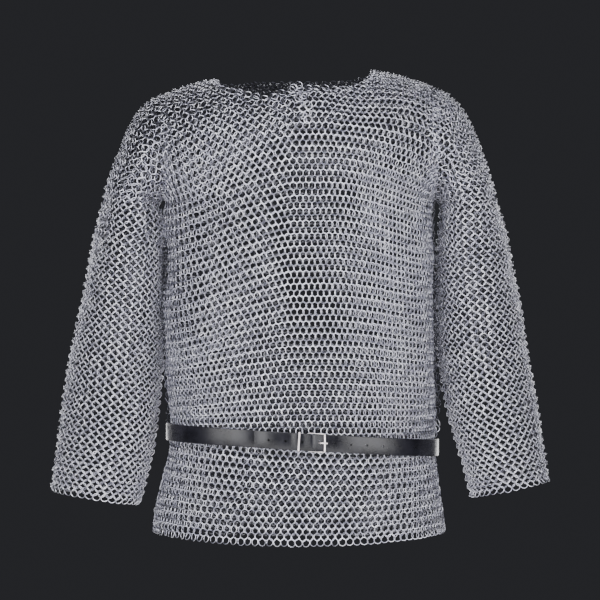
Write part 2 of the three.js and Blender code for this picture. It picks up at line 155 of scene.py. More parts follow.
def neckTopAngle(x, side):  # radians up the arch where the neckline cuts it
    across = np.minimum(np.abs(x - neck["centre"]) / neck["halfWidth"], 1)
    roundness = (1 - across ** neck["squareness"]) ** (1 / neck["squareness"])
    middle = np.radians(neck[sideName(side)])
    return middle + (np.pi / 2 - middle) * (1 - roundness)


def archLine(fraction, side, steps=48):  # points from the armpit line up to the shoulder ridge
    x = armhole["halfSpan"] * fraction
    bottomDepth = roundedDepth(fraction, bodySections[sideName(side)][-1])
    depth = roundedDepth(x / chest["halfWidth"], chest[sideName(side)])
    startAngle = -math.acos(min(bottomDepth / depth, 1))
    angle = np.linspace(startAngle, np.pi / 2, steps)
    lower = (archCentre - armhole["bottom"]) / max(math.sin(-startAngle), 1e-9)
    upper = ridgeHeight(x) - archCentre
    height = archCentre + np.where(angle < 0, lower, upper) * np.sin(angle)
    return np.stack([x + 0 * angle, side * depth * np.cos(angle), height], -1)


def lineLengths(points):
    steps = np.linalg.norm(np.diff(points, axis=0), axis=1)
    return np.concatenate([[0], np.cumsum(steps)])


def alongLine(points, lengths, places):
    return np.stack([np.interp(places, lengths, points[:, k]) for k in range(3)], -1)


def sleeveStations(hand, armSteps=40):
    stations = []
    table = sleeveSections[hand]
    pivotHeight = armhole["bottom"] - fan["pivotRadius"]
    armholeShare = armhole["halfSpan"] / chest["halfWidth"]
    armholeDepth = {s: roundedDepth(armholeShare, chest[sideName(s)]) for s in (front, back)}
    for step in range(fan["steps"] + 1):
        blend = step / fan["steps"]
        angle = fan["endAngle"] * blend
        outward = np.array([hand * math.sin(math.radians(angle)), 0, math.cos(math.radians(angle))])
        base = np.array([hand * armhole["halfSpan"], 0, pivotHeight]) + fan["pivotRadius"] * outward
        depths = {}
        for side in (front, back):
            depths[side] = armholeDepth[side] * (1 - blend) + table[sideName(side)][0] * blend
        reach = float(readTable(fanReach, "reach", angle))
        stations.append((base, outward, reach, depths, table["setBack"][0] * blend))
    for level in np.linspace(table["level"][0], table["level"][-1], armSteps + 1)[1:]:
        read = lambda column: float(readTable(table, column, level))
        tilt = math.radians(read("tilt"))
        base = np.array([hand * read("inner"), 0, level])
        outward = np.array([hand * math.cos(tilt), 0, math.sin(tilt)])
        depths = {s: read(sideName(s)) for s in (front, back)}
        stations.append((base, outward, read("reach"), depths, read("setBack")))
    return stations


def sleeveLine(station, side, steps=40):  # half a turn, from the inner edge to the outer one
    base, outward, reach, depths, setBack = station
    angle = np.linspace(0, np.pi, steps)
    points = base + np.outer(reach / 2 * (1 - np.cos(angle)), outward)
    points[:, 1] = setBack + side * depths[side] * np.sin(angle)
    return points


# ---- how the rows of rings lie on it ----

ringSize = {  # radius is to the middle of the wire; depth, how far in from the form's face the rings lie
    "radius": 5.7,
    "wireRadius": 0.82,  # of a three-sided wire that looks as wide as a round one of 1.6 mm
    "lean": 25,
    "segments": 10,
    "sides": 3,
    "depth": 2.5,
}
chestRows = 34  # from the armpit line to the ridge of the shoulder, and half round the arm
rowReach = {  # how far up each row lies: closer near the neck
    "row": [0, 4, 8, 12, 16, 25, 34],
    "height": [0, 36.5, 70, 102, 132, 202, 282],
}
weave = {
    "rowHeight": 9.2,  # of the body, above the belt
    "bodyRows": 41,
    "skirtRowHeight": 8.0,
    "skirtRows": 18,
    "backPitch": 9.3,
    "neckPitch": {front: {left: 12.2, right: 9.4}, back: {left: 9.8, right: 9.8}},
    "sleevePitch": 12.3,
}
skirtPitch = {"share": [0, 0.6, 0.85, 1], "front": [10.7, 10.6, 9.6, 8.4], "back": [9.6, 9.6, 9.6, 9.6]}
chestPitch = {  # along a row, from the middle of the front outwards
    left: {
        "share": [0, 0.2, 0.35, 0.7, 1],
        "chest": [8.8, 9.4, 10.7, 11, 11],
        "waist": [9, 9, 8.8, 8.4, 8.4],
    },
    right: {
        "share": [0, 0.2, 0.35, 0.7, 1],
        "chest": [8.8, 8.4, 8, 6.8, 7],
        "waist": [9, 8.8, 8.4, 7.4, 7.3],
    },
}
rowDrop = {  # how far the rows of the front fall towards the sides
    left: {"share": [0, 0.05, 0.22, 0.44, 0.74, 0.88, 1], "drop": [0, 0, 8, 23, 46, 54, 58]},
    right: {"share": [0, 0.3, 0.5, 0.74, 0.88, 1], "drop": [0, 0, 7, 22, 30, 34]},
}
backDrop = {"share": [0, 0.2, 0.5, 0.8, 1], "drop": [0, 0, 7, 18, 18]}
dropFade = {  # from below the waist up to the shoulder
    "height": [-360, -330, -290, -220, -150, 0, 60, 110, 140, 190, 240, 285],
    left: [0, 0.08, 0.28, 0.5, 0.85, 1, 1, 1, 0.95, 0.7, 0.35, 0],
    right: [0, 0.05, 0.18, 0.4, 0.62, 1, 0.7, 0.1, -0.4, -0.5, -0.25, 0],
}
folds = [  # troughs and ridges of the front from one (x, z) to another; a positive height stands out
    {"from": (-219, -176), "to": (-218, -242), "height": -13, "width": 6},
    {"from": (-206, -190), "to": (-205, -245), "height": 6, "width": 6},
    {"from": (-197, -235), "to": (-199, -330), "height": -8, "width": 6},
    {"from": (217, -80), "to": (231, -150), "height": 7, "width": 8},
    {"from": (207, -160), "to": (199, -270), "height": -5, "width": 6},
    {"from": (199, -270), "to": (203, -500), "height": -6, "width": 6},
]


def foldHeight(points, side):
    height = np.zeros(points.shape[:-1])
    place = points[..., [0, 2]]
    for fold in folds if side == front else []:
        start, end = np.array(fold["from"], float), np.array(fold["to"], float)
        run = end - start
        share = ((place - start) @ run) / (run @ run)
        nearest = start + np.clip(share, 0, 1)[..., None] * run
        distance = np.linalg.norm(place - nearest, axis=-1)
        taper = np.sin(np.pi * np.clip(share, 0, 1)) ** 0.5
        height += fold["height"] * taper * np.exp(-((distance / fold["width"]) ** 2))
    return height


def softWaves(points):  # the cloth's slight unevenness
    x, y, z = points[..., 0], points[..., 1], points[..., 2]
    wave = np.sin(x / 31 + z / 57 + 1.3) + 0.8 * np.sin(z / 43 - x / 83 + y / 60)
    return 0.9 * wave + 0.6 * np.sin(x / 19 - z / 27 + y / 35 + 2.1)


archLines = {}


def archData(fraction, side):
    key = (round(float(fraction), 5), side)
    if key not in archLines:
        points = archLine(float(fraction), side)
        archLines[key] = (points, lineLengths(points))
    return archLines[key]


def heightsAt(rows, hand, share, side):  # how far up the front or back each row lies from the armpit line
    points, lengths = archData(hand * share, side)
    plain = weave["rowHeight"] * rows
    table = rowDrop[hand] if side == front else backDrop
    drop = readTable(table, "drop", share) * readTable(dropFade, hand, plain)
    climb = lengths[-1] * readTable(rowReach, "height", rows) / rowReach["height"][-1]
    return np.where(rows > 0, climb, plain) - drop, points, lengths


fades = {  # where the pitch and the lines of one part go over into another's, in rows or millimetres
    "sleeveStations": 10,  # past the sleeve's head, until its rows are evenly spread
    "waist": {"from": 40, "over": 260},  # down from the armpit line
    "neck": {left: {"from": -6, "over": 24}, right: {"from": 2, "over": 14}},  # up the chest's rows
    "collar": {"from": -110, "over": 80},
}
chestShares = np.sin(np.linspace(0, np.pi / 2, 30))  # stations from the middle out to the armhole


def upperGrid(hand, side, rows):  # the body, the chest and the sleeve, as rows of points
    grid, keep = [], []
    for share in chestShares:
        height, points, lengths = heightsAt(rows, hand, share, side)
        below = bodyPoint(armhole["bottom"] + np.minimum(height, 0), hand * share + 0 * height, side)
        above = alongLine(points, lengths, np.maximum(height, 0))
        grid.append(np.where((height < 0)[:, None], below, above))
        keep.append(np.ones(len(rows)))
    height, points, lengths = heightsAt(rows, hand, 1, side)
    atArmhole = height / lengths[-1]
    for number, station in enumerate(sleeveStations(hand)):
        settled = smoothStep(number / (fan["steps"] + fades["sleeveStations"]))
        share = atArmhole + (rows / chestRows - atArmhole) * settled
        line = sleeveLine(station, side)
        lengths = lineLengths(line)
        grid.append(alongLine(line, lengths, np.clip(share, 0, 1) * lengths[-1]))
        keep.append(((share >= 0) & (rows >= (0 if side == front else 1))).astype(float))
    return np.stack(grid, 1), np.stack(keep, 1)


skirt = {"hemRise": 14, "middleDrop": 4, "topTilt": -0.058}


def skirtGrid(hand, side, rows):
    grid = []
    for share in chestShares:
        across = hand * share
        hem = bodySections["level"][0] + skirt["hemRise"] * share**2 - skirt["middleDrop"]
        tilt = skirt["topTilt"] * bodySections["halfWidth"][0] * across * rows / weave["skirtRows"]
        level = hem + ringSize["radius"] + weave["skirtRowHeight"] * rows + tilt
        grid.append(bodyPoint(level, across + 0 * level, side))
    return np.stack(grid, 1), np.ones((len(rows), len(chestShares)))


def gridNormals(grid, hand, side):
    up = np.gradient(grid, axis=0)
    onward = np.gradient(grid, axis=1)
    normal = np.cross(up, onward) * side * hand
    return normal / np.maximum(np.linalg.norm(normal, axis=-1, keepdims=True), 1e-9)


def pitchGrid(hand, side, rows, stations):
    pitch = np.full((len(rows), stations), float(weave["backPitch"]))
    chestCount = len(chestShares)
    if side == front:
        table = chestPitch[hand]
        chestValues = readTable(table, "chest", chestShares)
        waistValues = readTable(table, "waist", chestShares)
        waist = fades["waist"]
        waistShare = smoothStep((-weave["rowHeight"] * rows - waist["from"]) / waist["over"])[:, None]
        pitch[:, :chestCount] = chestValues * (1 - waistShare) + waistValues * waistShare
    fade = fades["neck"][hand]
    neckShare = smoothStep((rows - fade["from"]) / fade["over"])[:, None]
    pitch[:, :chestCount] += (weave["neckPitch"][side][hand] - pitch[:, :chestCount]) * neckShare
    sleeveShare = smoothStep(np.arange(stations - chestCount) / fan["steps"])
    atArmhole = pitch[:, chestCount - 1 : chestCount]
    pitch[:, chestCount:] = atArmhole + (weave["sleevePitch"] - atArmhole) * sleeveShare
    return pitch


def beltHeight(x):
    return belt["middleHeight"] + belt["slope"] * x


neckSag = {  # the collar hangs a little askew: lower at the wearer's right, higher at the left
    "x": [-260, -188, -150, -128, -95, -73, -50, -30, -12, 5, 25, 40, 62, 90, 120, 174, 215, 260],
    "front": [0, -5, -7, -9, -4, -4, -8, -1, 5, 6.5, 6.5, 5.5, 2, 0, 2, 5, 3, 0],
    "back": [0, -5, -7, -9, -4, 0, 0, 0, 0, 0, 0, 0, 0, 0, 2, 5, 3, 0],
}
pieces = {}  # the rings of each piece, as lists of arrays


def addRings(piece, centres, normals, alongs, signs):
    x, y, z = centres.T
    place = np.clip(x, neckSag["x"][0], neckSag["x"][-1])
    lift = np.where(y < 0, readTable(neckSag, "front", place), readTable(neckSag, "back", place))
    share = smoothStep((z - fades["collar"]["from"]) / fades["collar"]["over"])
    centres = centres + np.outer(lift * share, [0, 0, 1])
    pieces.setdefault(piece, []).append((centres, normals, alongs, signs))


def rowCounts(steps, pitch, armRun):  # rings counted along a row; down the arm all rows keep step
    increments = steps / ((pitch[1:] + pitch[:-1]) / 2)
    counts = np.concatenate([[0], np.cumsum(increments)])
    if armRun is None:
        return counts
    atArmhole, atArm = len(chestShares), len(chestShares) + fan["steps"]
    reached = counts[atArmhole]
    wished = counts[atArm] - reached
    settled = round(reached + wished)
    if settled <= reached:
        settled += 1
    turned = (counts[atArmhole : atArm + 1] - reached) * (settled - reached) / max(wished, 1e-6)
    return np.concatenate([counts[:atArmhole], reached + turned, settled + armRun[1:]])


def layRows(grid, keep, pitch, hand, side, rows, pieceOf, armRun=None):
    normals = gridNormals(grid, hand, side)
    shift = foldHeight(grid, side) + softWaves(grid) - ringSize["depth"]
    grid = grid + normals * shift[..., None]
    normals = gridNormals(grid, hand, side)
    along = np.gradient(grid, axis=1) * hand
    stations = np.arange(grid.shape[1])
    for index, row in enumerate(rows):
        steps = np.linalg.norm(np.diff(grid[index], axis=0), axis=1)
        counts = rowCounts(steps, pitch[index], armRun)
        start = 0.5 if row % 2 else (0 if hand == right else 1)
        wanted = np.arange(start, counts[-1], 1.0)
        station = np.interp(wanted, counts, stations)
        kept = np.interp(station, stations, keep[index]) > 0.999
        centres, normal, direction = (
            np.stack([np.interp(station, stations, values[index, :, k]) for k in range(3)], -1)[kept]
            for values in (grid, normals, along)
        )
        normal /= np.linalg.norm(normal, axis=1, keepdims=True)
        direction -= normal * np.sum(normal * direction, axis=1, keepdims=True)
        direction /= np.linalg.norm(direction, axis=1, keepdims=True)
        signs = np.full(len(centres), 1.0 if row % 2 else -1.0)
        names = pieceOf(row, station[kept], centres)
        for name in set(names) - {None}:
            chosen = np.array([n == name for n in names])
            addRings(name, centres[chosen], normal[chosen], direction[chosen], signs[chosen])


# a line of rings closes the edge; probe is the step that finds the slope there
neckEdge = {"margin": 9.5, "inset": 4.5, "pitch": 12.4, "lean": 0.55, "probe": 3}


def overNeckline(centre, side):
    x, z = centre[0], centre[2]
    if abs(x - neck["centre"]) > neck["halfWidth"] or z < archCentre:
        return False
    upper = ridgeHeight(x) - archCentre
    angle = math.asin(min((z - archCentre) / upper, 1))
    margin = neckEdge["margin"] / chest[sideName(side)]
    return angle > neckTopAngle(x, side) - margin


def upperPiece(side):
    def pieceOf(row, station, centres):
        names = []
        for place, centre in zip(station, centres):
            if place > len(chestShares) - 0.5:
                names.append("left_sleeve_mail" if centre[0] < 0 else "right_sleeve_mail")
            elif row >= 0:
                names.append(None if overNeckline(centre, side) else "chest_" + sideName(side) + "_mail")
            else:
                clear = centre[2] > beltHeight(centre[0]) - belt["mailUnderTop"]
                names.append("body_" + sideName(side) + "_mail" if clear else None)
        return names
    return pieceOf


def skirtPiece(side):
    def pieceOf(row, station, centres):
        name = "skirt_" + sideName(side) + "_mail"
        return [name if c[2] < beltHeight(c[0]) + belt["mailUnderFoot"] else None for c in centres]
    return pieceOf


for hand in (left, right):
    for side in (front, back):
        topRow = chestRows + (1 if side == front else 0)
        upperRows = np.arange(-weave["bodyRows"], topRow)
        grid, keep = upperGrid(hand, side, upperRows)
        pitch = pitchGrid(hand, side, upperRows, grid.shape[1])
        armStations = sleeveStations(hand)[fan["steps"] :]
        armMiddles = np.array([base + reach / 2 * outward for base, outward, reach, _, _ in armStations])
        armRun = lineLengths(armMiddles) / weave["sleevePitch"]
        layRows(grid, keep, pitch, hand, side, upperRows, upperPiece(side), armRun)
        skirtRows = np.arange(0, weave["skirtRows"] + 1)
        grid, keep = skirtGrid(hand, side, skirtRows)
        values = readTable(skirtPitch, sideName(side), chestShares)
        pitch = np.tile(values, (len(skirtRows), 1))
        layRows(grid, keep, pitch, hand, side, skirtRows, skirtPiece(side))


def neckBorder(side):  # a line of rings that closes the edge of the neck
    points, normals = [], []
    for place in np.linspace(neck["centre"] - neck["halfWidth"], neck["centre"] + neck["halfWidth"], 400):
        line, lengths = archData(place / armhole["halfSpan"], side)
        upper = ridgeHeight(place) - archCentre
        edgeHeight = archCentre + upper * math.sin(neckTopAngle(place, side))
        edgeLength = np.interp(edgeHeight, line[:, 2], lengths) - neckEdge["inset"]
        before, at = alongLine(line, lengths, np.array([edgeLength - neckEdge["probe"], edgeLength]))
        slope = at - before
        normal = np.array([0, side * slope[2], -side * slope[1]])
        points.append(at)
        normals.append(normal / np.linalg.norm(normal))
    points, normals = np.array(points), np.array(normals)
    lengths = lineLengths(points)
    count = int(lengths[-1] // neckEdge["pitch"])
    places = np.linspace(0, lengths[-1], count)
    centres, normal = alongLine(points, lengths, places), alongLine(normals, lengths, places)
    ahead = alongLine(points, lengths, places + 1) - alongLine(points, lengths, places - 1)
    direction = ahead - normal * np.sum(normal * ahead, axis=1, keepdims=True)
    direction /= np.linalg.norm(direction, axis=1, keepdims=True)
    normal /= np.linalg.norm(normal, axis=1, keepdims=True)
    signs = np.full(count, neckEdge["lean"])
    piece = "chest_" + sideName(side) + "_mail"
    addRings(piece, centres - normal * ringSize["depth"], normal, direction, signs)


for side in (front, back):
    neckBorder(side)
print("rows laid for", len(pieces), "pieces of mail")


# ---- the lapped lip of the neck slit ----

flap = {
    "top": (-17, -23),
    "foot": (8, -75),
    "width": 20,
    "footWidth": 7,
    "lift": 3.4,
    "liftStep": 0.6,  # less for each ring further across
    "pitch": 8.6,
    "rows": 7.4,
    "edgeGap": 1,
}


def layFlap():
    top, foot = np.array(flap["top"], float), np.array(flap["foot"], float)
    run = foot - top
    length = np.linalg.norm(run)
    onward = run / length
    sideways = np.array([-onward[1], onward[0]])
    centres, normals, alongs, signs = [], [], [], []
    rowCount = int(length / flap["rows"])
    for row in range(rowCount + 1):
        share = row / rowCount
        width = flap["width"] + (flap["footWidth"] - flap["width"]) * share
        for column in range(int(width / flap["pitch"]) + 1):
            offset = (column + 0.5 * (row % 2)) * flap["pitch"]
            x, z = top + run * share + sideways * offset
            line, lengths = archData(x / armhole["halfSpan"], front)
            limit = archCentre + (ridgeHeight(x) - archCentre) * math.sin(neckTopAngle(x, front))
            if z > limit - flap["edgeGap"]:
                continue
            place = np.interp(z, line[:, 2], lengths)
            before, at = alongLine(line, lengths, np.array([place - neckEdge["probe"], place]))
            slope = at - before
            normal = np.array([0, -slope[2], slope[1]])
            normal /= np.linalg.norm(normal)
            direction = np.array([onward[0], 0, onward[1]])
            direction -= normal * (direction @ normal)
            centres.append(at + normal * (flap["lift"] - flap["liftStep"] * column))
            normals.append(normal)
            alongs.append(direction / np.linalg.norm(direction))
            signs.append(1.0 if row % 2 else -1.0)
    addRings("neck_flap_mail", np.array(centres), np.array(normals), np.array(alongs), np.array(signs))


layFlap()


# ---- rings into meshes ----


def ringTemplate():
    turn = np.arange(ringSize["segments"]) * 2 * np.pi / ringSize["segments"]
    section = np.arange(ringSize["sides"]) * 2 * np.pi / ringSize["sides"] - np.pi / 2
    faces = []
    for a in range(ringSize["segments"]):
        for b in range(ringSize["sides"]):
            nextA, nextB = (a + 1) % ringSize["segments"], (b + 1) % ringSize["sides"]
            corner = lambda i, j: i * ringSize["sides"] + j
            faces.append([corner(a, b), corner(nextA, b), corner(nextA, nextB), corner(a, nextB)])
    return turn, section, np.array(faces)


turns, sectionTurns, ringFaces = ringTemplate()
jitter = {"lean": 4.5, "nod": 6, "place": 0.3}  # degrees, degrees and millimetres


def ringMesh(name, material):
    centres, normals, alongs, signs = (np.concatenate(parts) for parts in zip(*pieces[name]))
    count = len(centres)
    ups = np.cross(normals, alongs)
    centres = centres + rng.normal(0, jitter["place"], (count, 3))
    lean = np.radians(ringSize["lean"] * signs + rng.normal(0, jitter["lean"], count))[:, None]
    nod = np.radians(rng.normal(0, jitter["nod"], count))[:, None]
    axis = normals * np.cos(lean) + alongs * np.sin(lean)
    first = alongs * np.cos(lean) - normals * np.sin(lean)
    axis, second = axis * np.cos(nod) + ups * np.sin(nod), ups * np.cos(nod) - axis * np.sin(nod)
    phase = turns[None, :] + rng.uniform(0, 2 * np.pi / ringSize["segments"], count)[:, None]
    spoke = np.cos(phase)[..., None] * first[:, None] + np.sin(phase)[..., None] * second[:, None]
    reach = ringSize["radius"] + ringSize["wireRadius"] * np.cos(sectionTurns)
    lift = ringSize["wireRadius"] * np.sin(sectionTurns)
    vertices = (
        centres[:, None, None]
        + spoke[:, :, None] * reach[None, None, :, None]
        + axis[:, None, None] * lift[None, None, :, None]
    ).reshape(-1, 3) * millimetre
    perRing = ringSize["segments"] * ringSize["sides"]
    lookOut = (
        np.sum(spoke * normals[:, None], -1)[..., None] * np.cos(sectionTurns)
        + np.sum(axis * normals, -1)[:, None, None] * np.sin(sectionTurns)
    )
    faces = (ringFaces[None] + (np.arange(count) * perRing)[:, None, None]).reshape(-1)
    mesh = bpy.data.meshes.new(name)
    mesh.vertices.add(len(vertices))
    mesh.vertices.foreach_set("co", vertices.astype(np.float32).ravel())
    mesh.loops.add(len(faces))
    mesh.loops.foreach_set("vertex_index", faces.astype(np.int32))
    faceCount = len(faces) // 4
    mesh.polygons.add(faceCount)
    mesh.polygons.foreach_set("loop_start", np.arange(0, len(faces), 4, dtype=np.int32))
    mesh.polygons.foreach_set("use_smooth", np.ones(faceCount, bool))
    mesh.update()
    mesh.validate()
    mesh.materials.append(material)
    # painted shade: the faces of each wire that turn sideways or away from the garment's outside are marked
    # here, to be painted darker in the wire's material
    paintedShade = mesh.attributes.new("paintedShade", "FLOAT", "POINT")
    paintedShade.data.foreach_set("value", np.clip(0.5 - 0.8 * lookOut, 0, 1).astype(np.float32).ravel())
    thing = bpy.data.objects.new(name, mesh)
    scene.collection.objects.link(thing)
    return thing, count


# ---- materials ----


def linearColour(hexCode):  # sRGB hex to linear
    values = [int(hexCode[k : k + 2], 16) / 255 for k in (1, 3, 5)]
    return [v / 12.92 if v <= 0.04045 else ((v + 0.055) / 1.055) ** 2.4 for v in values] + [1.0]


def addNode(tree, kind, inputs=None, **settings):  # a node with its settings, and sockets set or linked
    node = tree.nodes.new(kind)
    for name, value in settings.items():
        setattr(node, name, value)
    for name, value in (inputs or {}).items():
        if isinstance(value, bpy.types.NodeSocket):
            tree.links.new(value, node.inputs[name])
        else:
            node.inputs[name].default_value = value
    return node


def newMaterial(name):
    material = bpy.data.materials.new(name)
    material.use_nodes = True
    tree = material.node_tree
    tree.nodes.clear()
    output = addNode(tree, "ShaderNodeOutputMaterial")
    shader = addNode(tree, "ShaderNodeBsdfPrincipled")
    tree.links.new(shader.outputs["BSDF"], output.inputs["Surface"])
    return material, tree, shader


def setRamp(node, stops):
    ramp = node.color_ramp
    while len(ramp.elements) > len(stops):
        ramp.elements.remove(ramp.elements[-1])
    while len(ramp.elements) < len(stops):
        ramp.elements.new(0.5)
    for element, (position, colour) in zip(ramp.elements, stops):
        element.position = position
        element.color = linearColour(colour)


# galvanised steel wire, coiled and cut: a dull zinc grey whose rings differ a little from one to the next;
# the sides and the inner face of the wire carry painted shade, mixed towards a dark grey
def galvanisedWire():
    material, tree, shader = newMaterial("galvanisedSteelWire")
    geometry = addNode(tree, "ShaderNodeNewGeometry")
    tone = addNode(tree, "ShaderNodeValToRGB", {"Fac": geometry.outputs["Random Per Island"]})
    setRamp(tone, [(0, "#B9B9CA"), (0.5, "#D2D2E2"), (1, "#ECECF6")])
    coordinates = addNode(tree, "ShaderNodeTexCoord")
    place = coordinates.outputs["Object"]
    drawn = addNode(tree, "ShaderNodeTexNoise", {"Vector": place, "Scale": 900, "Detail": 3})
    wear = {"Value": drawn.outputs["Fac"], "To Min": 0.24, "To Max": 0.42}
    roughness = addNode(tree, "ShaderNodeMapRange", wear)
    # painted shade: where the wire turns sideways or inwards its colour is mixed towards #33333A
    paintedShade = addNode(tree, "ShaderNodeAttribute", attribute_name="paintedShade")
    shadeRange = {"Value": paintedShade.outputs["Fac"], "From Min": 0.08, "From Max": 0.5}
    paintedShadeShare = addNode(tree, "ShaderNodeMapRange", shadeRange)
    mixed = {"Factor": paintedShadeShare.outputs["Result"], "A": tone.outputs["Color"]}
    colour = addNode(tree, "ShaderNodeMix", mixed, data_type="RGBA")
    colour.inputs["B"].default_value = linearColour("#33333A")
    tree.links.new(colour.outputs["Result"], shader.inputs["Base Color"])
    tree.links.new(roughness.outputs["Result"], shader.inputs["Roughness"])
    shader.inputs["Metallic"].default_value = 1
    return material


# black bridle leather, waxed and plated smooth: deep black with a soft bluish gloss
def bridleLeather():
    material, tree, shader = newMaterial("blackBridleLeather")
    coordinates = addNode(tree, "ShaderNodeTexCoord")
    place = coordinates.outputs["Object"]
    grain = addNode(tree, "ShaderNodeTexVoronoi", {"Vector": place, "Scale": 1300})
    clouds = addNode(tree, "ShaderNodeTexNoise", {"Vector": place, "Scale": 45, "Detail": 4})
    tone = addNode(tree, "ShaderNodeValToRGB", {"Fac": clouds.outputs["Fac"]})
    setRamp(tone, [(0.3, "#0D0D11"), (0.7, "#19191F")])
    polish = {"Value": clouds.outputs["Fac"], "To Min": 0.18, "To Max": 0.29}
    roughness = addNode(tree, "ShaderNodeMapRange", polish)
    pores = {"Height": grain.outputs["Distance"], "Strength": 0.25, "Distance": 0.0003}
    bump = addNode(tree, "ShaderNodeBump", pores)
    tree.links.new(tone.outputs["Color"], shader.inputs["Base Color"])
    tree.links.new(roughness.outputs["Result"], shader.inputs["Roughness"])
    tree.links.new(bump.outputs["Normal"], shader.inputs["Normal"])
    shader.inputs["Specular IOR Level"].default_value = 0.24
    return material


# nickel-plated steel, polished: bright and slightly warm
def polishedNickel():
    material, tree, shader = newMaterial("nickelPlatedSteel")
    coordinates = addNode(tree, "ShaderNodeTexCoord")
    place = coordinates.outputs["Object"]
    wear = addNode(tree, "ShaderNodeTexNoise", {"Vector": place, "Scale": 300, "Detail": 5})
    scuffs = {"Value": wear.outputs["Fac"], "To Min": 0.26, "To Max": 0.4}
    roughness = addNode(tree, "ShaderNodeMapRange", scuffs)
    tree.links.new(roughness.outputs["Result"], shader.inputs["Roughness"])
    shader.inputs["Base Color"].default_value = linearColour("#D8D0D2")
    shader.inputs["Metallic"].default_value = 1
    return material


wireMaterial, leatherMaterial, nickelMaterial = galvanisedWire(), bridleLeather(), polishedNickel()
ringTotal = 0
sleeveNodes = ("sleeve_head_front", "sleeve_head_back", "sleeve_front", "sleeve_back")
cut = {  # the solid that each piece stands for, and its flat width and length in metres
    "chest_front_mail": (["front_panel"], (0.56, 0.285)),
    "body_front_mail": (["front_panel"], (0.575, 0.37)),
    "skirt_front_mail": (["front_panel"], (0.60, 0.16)),
    "chest_back_mail": (["back_panel"], (0.55, 0.28)),
    "body_back_mail": (["back_panel"], (0.555, 0.365)),
    "skirt_back_mail": (["back_panel"], (0.585, 0.155)),
    "left_sleeve_mail": (["left_" + node for node in sleeveNodes], (0.48, 0.66)),
    "right_sleeve_mail": (["right_" + node for node in sleeveNodes], (0.48, 0.65)),
    "neck_flap_mail": (["neck_flap"], (0.036, 0.064)),
}
for name, (nodes, flat) in cut.items():
    thing, count = ringMesh(name, wireMaterial)
    ringTotal += count
    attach(thing, "root")
    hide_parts(*nodes)
    print(name, count, "rings")
print("rings in all", ringTotal, "triangles", ringTotal * ringSize["segments"] * ringSize["sides"] * 2)


# ---- the belt ----

strapSteps = {"round": 420, "freeEnd": 90}
holeNumbers = (-3, -2, -1, 1, 2, 3, 4, 6)  # counted from the prong's hole
strapBow = {  # how far the strap springs off its plain course, from the free end to the buckle
    "x": [-64, -60, -56, -50, -44, -34, -22, -13, -6, -2.5, 2, 6, 13, 19, 25, 32],
    "lift": [0, 0.1, 0.5, 1.6, 2.3, 2.7, 2.7, 2.2, 0.5, 0, 0, 0.3, 1.7, 2.5, 1.4, 0],
}
underBow = {  # the same for the layer beneath
    "x": [-140, -112, -90, -74, -62, 44, 52, 70, 100, 130],
    "lift": [0, 0.3, 1.5, 1.2, 0, 0, 1.4, 1.6, 0.4, 0],
}
buckle = {  # offsets are from the mail; outerBar and rails scale the bar's section
    "pivotX": 12,
    "outerX": 36.5,
    "pivotOffset": 3.7,
    "outerOffset": 7.9,
    "halfHeight": 13.4,
    "corner": 2.4,
    "outerBar": 1.5,
    "rails": 0.62,
}
keeper = {"middle": -1.5, "halfWidth": 1.3, "halfThick": 0.6, "gap": 0.5, "tilt": 0.06}
prongPath = {"x": [15.2, 21, 24, 28, 32, 36.5, 40.6], "offset": [4, 3.4, 4, 7.7, 10.2, 10.7, 10.2]}


def waistPoint(turn, offset):  # turn in radians, from the middle of the front towards the onlooker's left
    read = lambda column: float(readTable(bodySections, column, belt["middleHeight"]))
    spread = lambda value: math.copysign(abs(value) ** (2 / bodySquareness), value)
    depth = read("front" if math.cos(turn) > 0 else "back") + offset
    x = read("centre") - (read("halfWidth") + offset) * spread(math.sin(turn))
    return Vector((x, -depth * spread(math.cos(turn)), beltHeight(x)))


def turnAtX(x):
    halfWidth = float(readTable(bodySections, "halfWidth", belt["middleHeight"]))
    share = (x - float(readTable(bodySections, "centre", belt["middleHeight"]))) / halfWidth
    return -math.copysign(math.asin(min(abs(share), 1) ** (bodySquareness / 2)), share)


def strapMiddle(x, overLayer):  # how far the middle of the strap's thickness stands off the mail
    plain = belt["standOff"] + belt["thickness"] / 2
    if not overLayer:
        return plain + float(readTable(underBow, "lift", np.clip(x, underBow["x"][0], underBow["x"][-1])))
    rise = belt["thickness"] + belt["layerGap"]
    share = min(max((belt["rampFrom"] - x) / (belt["rampFrom"] - belt["rampTo"]), 0), 1)
    place = np.clip(x, strapBow["x"][0], strapBow["x"][-1])
    return plain + rise * share + float(readTable(strapBow, "lift", place))


def roundedSection(halfWide, halfThick, radius, steps):  # counter-clockwise, from the right-hand top corner
    corners = []
    for number, (across, up) in enumerate(((1, 1), (-1, 1), (-1, -1), (1, -1))):
        for step in range(steps + 1):
            angle = math.pi / 2 * (number + step / steps)
            middle = (across * (halfWide - radius), up * (halfThick - radius))
            corners.append((middle[0] + radius * math.cos(angle), middle[1] + radius * math.sin(angle)))
    return corners


# a section carried along a line
def sweepMesh(name, points, sideways, section, closed=False, scales=None):
    mesh = bmesh.new()
    rings = []
    count = len(points)
    for index, (point, side) in enumerate(zip(points, sideways)):
        before = points[(index - 1) % count if closed else max(index - 1, 0)]
        after = points[(index + 1) % count if closed else min(index + 1, count - 1)]
        outward = (after - before).cross(side).normalized()
        size = scales[index] if scales else 1
        corners = [point + (side * a + outward * b) * size for a, b in section]
        rings.append([mesh.verts.new(corner * millimetre) for corner in corners])
    for index in range(count if closed else count - 1):
        first, second = rings[index], rings[(index + 1) % count]
        for k in range(len(section)):
            following = (k + 1) % len(section)
            mesh.faces.new((first[k], first[following], second[following], second[k]))
    if not closed:
        mesh.faces.new(rings[0][::-1])
        mesh.faces.new(rings[-1])
    bmesh.ops.recalc_face_normals(mesh, faces=mesh.faces)
    data = bpy.data.meshes.new(name)
    mesh.to_mesh(data)
    mesh.free()
    for face in data.polygons:
        face.use_smooth = True
    thing = bpy.data.objects.new(name, data)
    scene.collection.objects.link(thing)
    return thing


